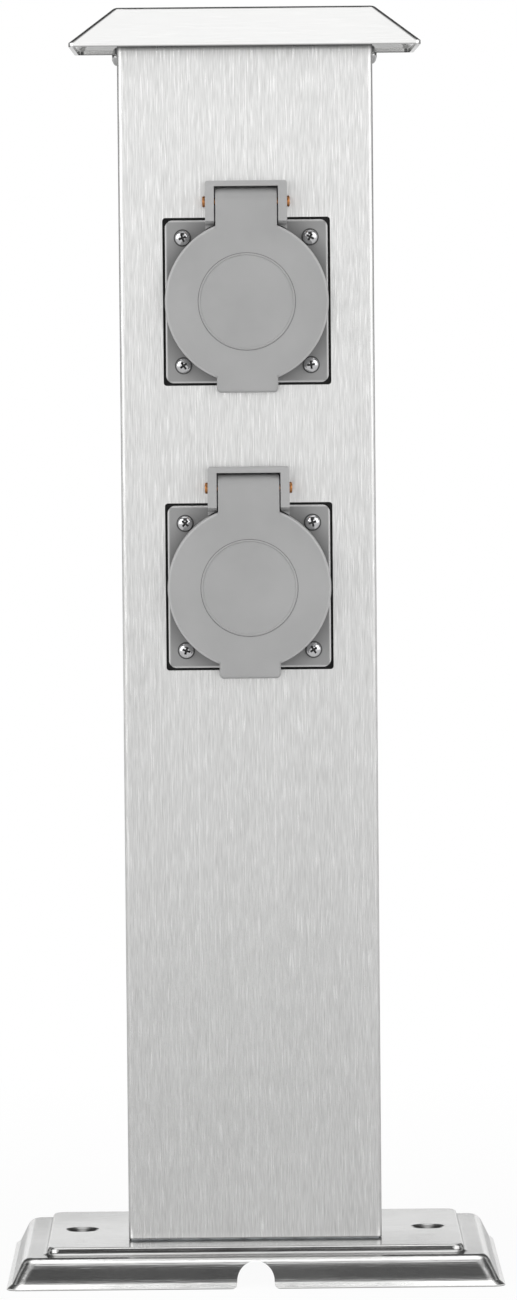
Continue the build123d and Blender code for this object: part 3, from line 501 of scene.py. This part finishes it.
def turned_mesh(name, outline, around=40):
    """A closed shape turned about Z from (radius, height) points. It starts and ends on the axis."""
    verts = [(0.0, 0.0, outline[0][1])]
    for radius, height in outline[1:-1]:
        for step in range(around):
            angle = 2 * math.pi * step / around
            verts.append((radius * math.cos(angle), radius * math.sin(angle), height))
    verts.append((0.0, 0.0, outline[-1][1]))
    last = len(verts) - 1
    starts = range(1, last, around)
    faces = [(0, 1 + (step + 1) % around, 1 + step) for step in range(around)]
    for low, high in zip(starts, starts[1:]):
        faces += strip(low, high, around)
    faces += [(last, starts[-1] + step, starts[-1] + (step + 1) % around) for step in range(around)]
    return plain_mesh(name, verts, faces)


def smooth_below(mesh, degrees):
    """Smooth shading, with sharp edges where faces meet at more than this angle."""
    mesh.shade_smooth()
    mesh.set_sharp_from_angle(angle=math.radians(degrees))


# Screws with a cross recess

CROSS_TOP = 1.25
CROSS_TIP_REACH = 0.55
CROSS_TIP_WIDTH = 0.7


def cross_cutter(reach, half, high, low):
    """A tapered cross, wide at the top, that cuts a screw's recess."""
    corners = [(reach, -half), (reach, half), (half, half), (half, reach), (-half, reach), (-half, half),
               (-reach, half), (-reach, -half), (-half, -half), (-half, -reach), (half, -reach), (half, -half)]
    verts = [(x * CROSS_TOP, y * CROSS_TOP, high) for x, y in corners]
    verts += [(x * CROSS_TIP_REACH, y * CROSS_TIP_WIDTH, low) for x, y in corners]
    count = len(corners)
    sides = [(i, i + count, (i + 1) % count + count, (i + 1) % count) for i in range(count)]
    ends = [tuple(range(count)), tuple(range(2 * count - 1, count - 1, -1))]
    mesh = faced_mesh("cross_cutter", verts, ends + sides)
    mesh.materials.append(FINISHES["recess_shade"])
    return mesh


def screw_outline(head_radius, head_height, shank_radius, length, pitch):
    """Half a pan-head screw's section, from its tip up: thread, neck, seat ring, head side and dome."""
    threaded, tip, root, neck = 0.8, 0.6, 0.8, 0.82
    seat, seat_rise, head_foot = head_radius * 1.13, 0.03 * MM, head_radius * 0.93
    side_low, side_high = 0.12, 0.34
    outline = [(0.0, -length), (shank_radius * tip, -length)]
    turns = int(length * threaded / pitch)
    for turn in range(turns):
        low = -length + pitch * (turn + 0.3)
        outline += [(shank_radius * root, low), (shank_radius, low + pitch * 0.5)]
    outline += [(shank_radius * neck, -length + pitch * turns + pitch * 0.3), (shank_radius * neck, -0.02 * MM),
                (seat, 0.0), (seat, seat_rise), (head_foot, 0.05 * MM), (head_radius, head_height * side_low),
                (head_radius, head_height * side_high)]
    for step in range(1, 7):
        angle = step * math.pi / 14
        rise = side_high + (1 - side_high) * math.sin(angle) ** 1.3
        outline.append((head_radius * math.cos(angle) ** 0.8, head_height * rise))
    outline.append((0.0, head_height))
    return outline


def screw_mesh(name, head_radius, head_height, shank_radius, length, pitch, finish="bright_screw"):
    """A pan-head screw with its seat at the origin and its head along +Z."""
    mesh = turned_mesh(name, screw_outline(head_radius, head_height, shank_radius, length, pitch))
    mesh.materials.append(FINISHES[finish])
    mesh.materials.append(FINISHES["recess_shade"])
    for face in mesh.polygons:      # the seat ring is the shade round the head
        if face.center.xy.length > head_radius * 0.9 and 0 < face.center.z < 0.06 * MM:
            face.material_index = 1
    blank = linked(name + "_blank", mesh)
    cross = cross_cutter(reach=head_radius * 0.58, half=head_radius * 0.15, high=head_height * 1.6,
                         low=head_height * 0.3)
    cutter = linked(name + "_cutter", cross)
    cut = blank.modifiers.new("recess", "BOOLEAN")
    cut.operation = "DIFFERENCE"
    cut.object = cutter
    cut.solver = "EXACT"
    cut.material_mode = "TRANSFER"
    view = bpy.context.evaluated_depsgraph_get()
    result = bpy.data.meshes.new_from_object(blank.evaluated_get(view))
    for made in (blank, cutter):
        bpy.data.objects.remove(made)
    return result


def place_screws(node_name, screw, seats):
    """Copies of one screw in one piece. A seat is a place, the way the head faces and a turn in degrees."""
    bm = bmesh.new()
    for place, outwards, turn in seats:
        start = len(bm.verts)
        bm.from_mesh(screw)
        bm.verts.ensure_lookup_table()
        spin = Matrix.Rotation(math.radians(turn), 4, "Z")
        aim = Vector(outwards).to_track_quat("Z", "Y").to_matrix().to_4x4()
        bmesh.ops.transform(bm, matrix=Matrix.Translation(place) @ aim @ spin, verts=bm.verts[start:])
    mesh = bpy.data.meshes.new(node_name + "_fine")
    bm.to_mesh(mesh)
    bm.free()
    for finish in screw.materials:
        mesh.materials.append(finish)
    smooth_below(mesh, 35)
    piece = add_piece(node_name + "_fine", mesh, "root")
    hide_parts(node_name)


# Four screws hold each flange, and each screw's cross stands at its own angle
FLANGE_CORNERS = [(-1, 1), (1, 1), (-1, -1), (1, -1)]
SCREW_PLACE = 19.997 * MM
SCREW_TURNS = {"upper": (20, 62, 35, 8), "lower": (50, 15, 71, 33)}
ROOF_SCREW_ACROSS = 40 * MM
ROOF_SCREW_HEIGHT = 385.6 * MM

flange_screw = screw_mesh("flange_screw", head_radius=2.4 * MM, head_height=1.6 * MM, shank_radius=1.4 * MM,
                          length=9.0 * MM, pitch=0.7 * MM)
for socket, height in SOCKETS.items():
    place_screws(socket + "_flange_screws", flange_screw,
                 [((x * SCREW_PLACE, FLANGE_FACE, height + z * SCREW_PLACE), (0, -1, 0), turn)
                  for (x, z), turn in zip(FLANGE_CORNERS, SCREW_TURNS[socket])])
# The roof screws take the darker finish, a painted shade from the roof
roof_screw = screw_mesh("roof_screw", head_radius=2.9 * MM, head_height=2.0 * MM, shank_radius=1.5 * MM,
                        length=8.0 * MM, pitch=0.7 * MM, finish="roof_screw_painted_shade")
place_screws("roof_screws", roof_screw,
             [((side * ROOF_SCREW_ACROSS, 0, ROOF_SCREW_HEIGHT), (side, 0, 0), 30) for side in (-1, 1)])


# Lid springs

SPRING_WIRE_RADIUS = 0.35 * MM
SPRING_COIL = 1.8 * MM
SPRING_PITCH = 1.2 * MM
SPRING_TURNS = 5
SPRING_STEPS = 28
SPRING_LID_LEG = 8 * MM
SPRING_LID_SIDE = -2.4 * MM


def tube(name, points, radius, sides=10):
    """A round wire along points, closed at both ends."""
    verts, faces = [], []
    along = (points[1] - points[0]).normalized()
    first = along.orthogonal().normalized()
    for i, point in enumerate(points):
        ahead = points[min(i + 1, len(points) - 1)] - points[max(i - 1, 0)]
        ahead.normalize()
        first = (first - ahead * first.dot(ahead)).normalized()
        second = ahead.cross(first)
        for side in range(sides):
            angle = 2 * math.pi * side / sides
            verts.append(point + radius * (math.cos(angle) * first + math.sin(angle) * second))
    for i in range(len(points) - 1):
        faces += strip(i * sides, (i + 1) * sides, sides)
    faces.append(tuple(range(sides - 1, -1, -1)))
    faces.append(tuple(range(len(verts) - sides, len(verts))))
    mesh = plain_mesh(name, verts, faces)
    smooth_below(mesh, 50)
    return mesh


def spring_points(axis):
    """The lid's leg, the coil round the pin and the leg against the housing's back, for a pin at this height."""
    points = [Vector((SPRING_LID_SIDE, HINGE_DEPTH - SPRING_COIL, axis - SPRING_LID_LEG * (1 - step / 4)))
              for step in range(4)]
    for step in range(int((SPRING_TURNS - 0.5) * SPRING_STEPS) + 1):
        turn = 0.5 + step / SPRING_STEPS
        angle = 2 * math.pi * turn
        points.append(Vector(((turn - SPRING_TURNS / 2) * SPRING_PITCH,
                              HINGE_DEPTH + SPRING_COIL * math.cos(angle), axis - SPRING_COIL * math.sin(angle))))
    end = points[-1]
    for leg in ((0.1, 0.1, -0.9), (0.15, 0.45, -1.6), (0.2, 1.3, -2.5)):
        points.append(end + Vector(leg) * MM)
    return points


for socket, height in SOCKETS.items():
    axis = height + HINGE_RISE
    mesh = tube(socket + "_lid_spring_fine", spring_points(axis), SPRING_WIRE_RADIUS)
    mesh.materials.append(FINISHES["spring_steel"])
    spring = linked(socket + "_lid_spring_fine", mesh)
    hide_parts(socket + "_lid_spring")
    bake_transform(spring)


# The lids' moulded rings and the painted shade beside them: half sections as radius from the lid's middle and depth
# from its face, in millimetres

LID_RIDGE = [(14.45, 0.0), (14.55, -0.2), (14.7, -0.3), (14.9, -0.3), (15.05, -0.2), (15.15, 0.0)]
# The crease is a flat dark annulus of painted shade beside the ridge
LID_CREASE_PAINTED_SHADE = [(15.12, 0.02), (15.14, -0.03), (15.3, -0.03), (15.32, 0.02)]


def ring_mesh(name, section, height, finish, around=128):
    """A ring on a lid's face, open behind."""
    verts, faces = [], []
    count = len(section)
    for step in range(around):
        angle = 2 * math.pi * step / around
        for radius, depth in section:
            across, up = radius * MM * math.cos(angle), radius * MM * math.sin(angle)
            verts.append((across, LID_FACE + depth * MM, height + up))
    for step in range(around):
        low, high = step * count, (step + 1) % around * count
        for i in range(count - 1):
            faces.append((low + i, low + i + 1, high + i + 1, high + i))
    mesh = faced_mesh(name, verts, faces)
    mesh.materials.append(FINISHES[finish])
    return mesh


for socket, height in SOCKETS.items():
    mesh = ring_mesh(socket + "_lid_ring", LID_RIDGE, height, "grey_lid")
    mesh.shade_smooth()
    add_piece(socket + "_lid_ring", mesh, socket + "_lid")
    # A flat dark annulus of painted shade beside each ridge
    mesh = ring_mesh(socket + "_lid_crease_painted_shade", LID_CREASE_PAINTED_SHADE, height, "lid_crease_painted_shade")
    add_piece(socket + "_lid_crease_painted_shade", mesh, socket + "_lid")


# The foot's pressed cove, in millimetres

RISER_FOOT_HALF_X = 65.25
RISER_FOOT_HALF_Y = 41.0
RISER_CORNER = 3.5
RISER_RUN = 0.7
RISER_RISE = 2.4
LEDGE_HEIGHT = 9.3
COVE_REACH = 1.2
COVE_RISE = 1.4
COVE_STEPS = 8
COVE_BACK = 0.2


def rounded_loop(half_x, half_y, corner, height, steps=10):
    """Points round a rectangle with rounded corners."""
    points = []
    for quarter, (side_x, side_y) in enumerate([(1, 1), (-1, 1), (-1, -1), (1, -1)]):
        for step in range(steps + 1):
            angle = math.pi / 2 * (quarter + step / steps)
            points.append(((side_x * (half_x - corner) + corner * math.cos(angle)) * MM,
                           (side_y * (half_y - corner) + corner * math.sin(angle)) * MM, height * MM))
    return points


def cove_section():
    """The cove's closed section: how far out of the plateau's edge and how high."""
    start = (RISER_RUN * (RISER_RISE - COVE_RISE) / RISER_RISE, LEDGE_HEIGHT + COVE_RISE)
    bend = (RISER_RUN, LEDGE_HEIGHT)
    end = (RISER_RUN + COVE_REACH, LEDGE_HEIGHT)
    section = []
    for step in range(COVE_STEPS + 1):
        t = step / COVE_STEPS
        section.append([(1 - t) ** 2 * a + 2 * t * (1 - t) * b + t * t * c for a, b, c in zip(start, bend, end)])
    inside, under = start[0] - COVE_BACK, LEDGE_HEIGHT - COVE_BACK
    return section + [[end[0], under], [inside, under], [inside, start[1]]]


def foot_cove():
    """The hollow round between the foot's riser and its ledge."""
    section = cove_section()
    verts, faces = [], []
    for out, height in section:
        verts += rounded_loop(RISER_FOOT_HALF_X + out, RISER_FOOT_HALF_Y + out, RISER_CORNER + out, height)
    around = len(verts) // len(section)
    for ring in range(len(section)):
        faces += strip(ring * around, (ring + 1) % len(section) * around, around)
    mesh = faced_mesh("foot_cove", verts, faces)
    mesh.materials.append(FINISHES["foot_steel"])
    smooth_below(mesh, 40)
    add_piece("foot_cove", mesh, "root")


foot_cove()


# Camera, floor and lights

def look(place, yaw, pitch, roll, lens):
    """The photograph's view: yaw to the right, pitch up and roll clockwise, in degrees."""
    data = bpy.data.cameras.new("camera")
    data.lens = lens
    data.clip_start = 0.05
    data.clip_end = 60.0
    camera = linked("camera", data)
    turned = Euler((math.radians(90 + pitch), 0, -math.radians(yaw))).to_matrix()
    camera.rotation_euler = (turned @ Matrix.Rotation(-math.radians(roll), 3, "Z")).to_euler()
    camera.location = place
    bpy.context.scene.camera = camera


def softbox(name, place, aim, size, power):
    """A square lamp that faces a point."""
    data = bpy.data.lights.new(name, "AREA")
    data.shape = "RECTANGLE"
    data.size = data.size_y = size
    data.energy = power
    lamp = linked(name, data)
    lamp.location = place
    lamp.rotation_euler = (Vector(aim) - Vector(place)).to_track_quat("-Z", "Y").to_euler()


FLAG_LIGHT = 0.06


def studio_world():
    """White to the camera. What reflections see is white too, with dark flags above each side and behind."""
    world = bpy.data.worlds.new("studio")
    bpy.context.scene.world = world
    world.use_nodes = True
    tree = world.node_tree
    background = tree.nodes["Background"]
    across, back, up = axes(tree, node(tree, "ShaderNodeTexCoord").outputs["Generated"])
    aside = math_node(tree, "ABSOLUTE", across)
    diagonal = math_node(tree, "ABSOLUTE", product(tree, across, back))
    # A flag over each side, the front and the back, but not over the corners between them
    side_flag = product(tree, spread(tree, up, 0.22, 0.34), spread(tree, up, 0.93, 0.8),
                        spread(tree, diagonal, 0.26, 0.16))
    # Two flags at the post's own height, behind it to the left and right
    level = spread(tree, math_node(tree, "ABSOLUTE", up), 0.25, 0.12)
    low_flag = product(tree, spread(tree, back, 0.1, 0.3), spread(tree, aside, 0.45, 0.7), level)
    # A flag high over the back
    high_flag = product(tree, spread(tree, up, 0.25, 0.4), spread(tree, up, 0.92, 0.84),
                        spread(tree, back, 0.3, 0.5))
    shade = math_node(tree, "MAXIMUM", math_node(tree, "MAXIMUM", side_flag, low_flag), high_flag)
    # Open light that is strongest in front and falls off to the back and the sides
    open_light = product(tree, spread(tree, back, 0.2, 0.8, 1.35, 0.92), spread(tree, aside, 0.4, 0.8, 1.0, 0.68))
    light = product(tree, open_light, spread(tree, shade, 0.0, 1.0, 1.0, FLAG_LIGHT))
    seen = node(tree, "ShaderNodeLightPath").outputs["Is Camera Ray"]
    tree.links.new(blend_colour(tree, seen, light, (1.0, 1.0, 1.0)), background.inputs["Color"])
    background.inputs["Strength"].default_value = 1.0


FLOOR_HALF = 12.0


def pale_floor():
    """A plain pale floor that looks white and keeps the post's shadow. Mirrored, it grows lighter further out."""
    corners = [(-1, -1), (1, -1), (1, 1), (-1, 1)]
    mesh = plain_mesh("floor", [(x * FLOOR_HALF, y * FLOOR_HALF, 0) for x, y in corners], [(0, 1, 2, 3)])
    floor = linked("floor", mesh)
    made, tree, shader, place = material("floor", (0.8, 0.8, 0.8), 0.0, 0.9)
    glow = node(tree, "ShaderNodeEmission", in_1=1.0)
    mix = node(tree, "ShaderNodeMixShader")
    rays = node(tree, "ShaderNodeLightPath")
    length = node(tree, "ShaderNodeVectorMath", operation="LENGTH")
    tree.links.new(place, length.inputs[0])
    reach = length.outputs["Value"]
    shown = product(tree, rays.outputs["Is Camera Ray"], spread(tree, reach, 0.12, 0.5, 0.95, 1.0))
    mirrored = product(tree, rays.outputs["Is Glossy Ray"], spread(tree, reach, 0.4, 3.0, 0.25, 0.93))
    tree.links.new(math_node(tree, "ADD", shown, mirrored), mix.inputs[0])
    tree.links.new(shader.outputs[0], mix.inputs[1])
    tree.links.new(glow.outputs[0], mix.inputs[2])
    tree.links.new(mix.outputs[0], tree.nodes["Material Output"].inputs["Surface"])
    mesh.materials.append(made)


bpy.context.scene.view_settings.view_transform = "Standard"
look(place=(-0.0042, -2.1554, 0.3194), yaw=0.185, pitch=-3.253, roll=0.525, lens=187.68)
studio_world()
pale_floor()
softbox("left_light", place=(-1.5, -1.2, 0.85), aim=(0, 0, 0.25), size=1.5, power=10.0)
softbox("right_light", place=(1.5, -1.2, 0.85), aim=(0, 0, 0.25), size=1.5, power=8.2)
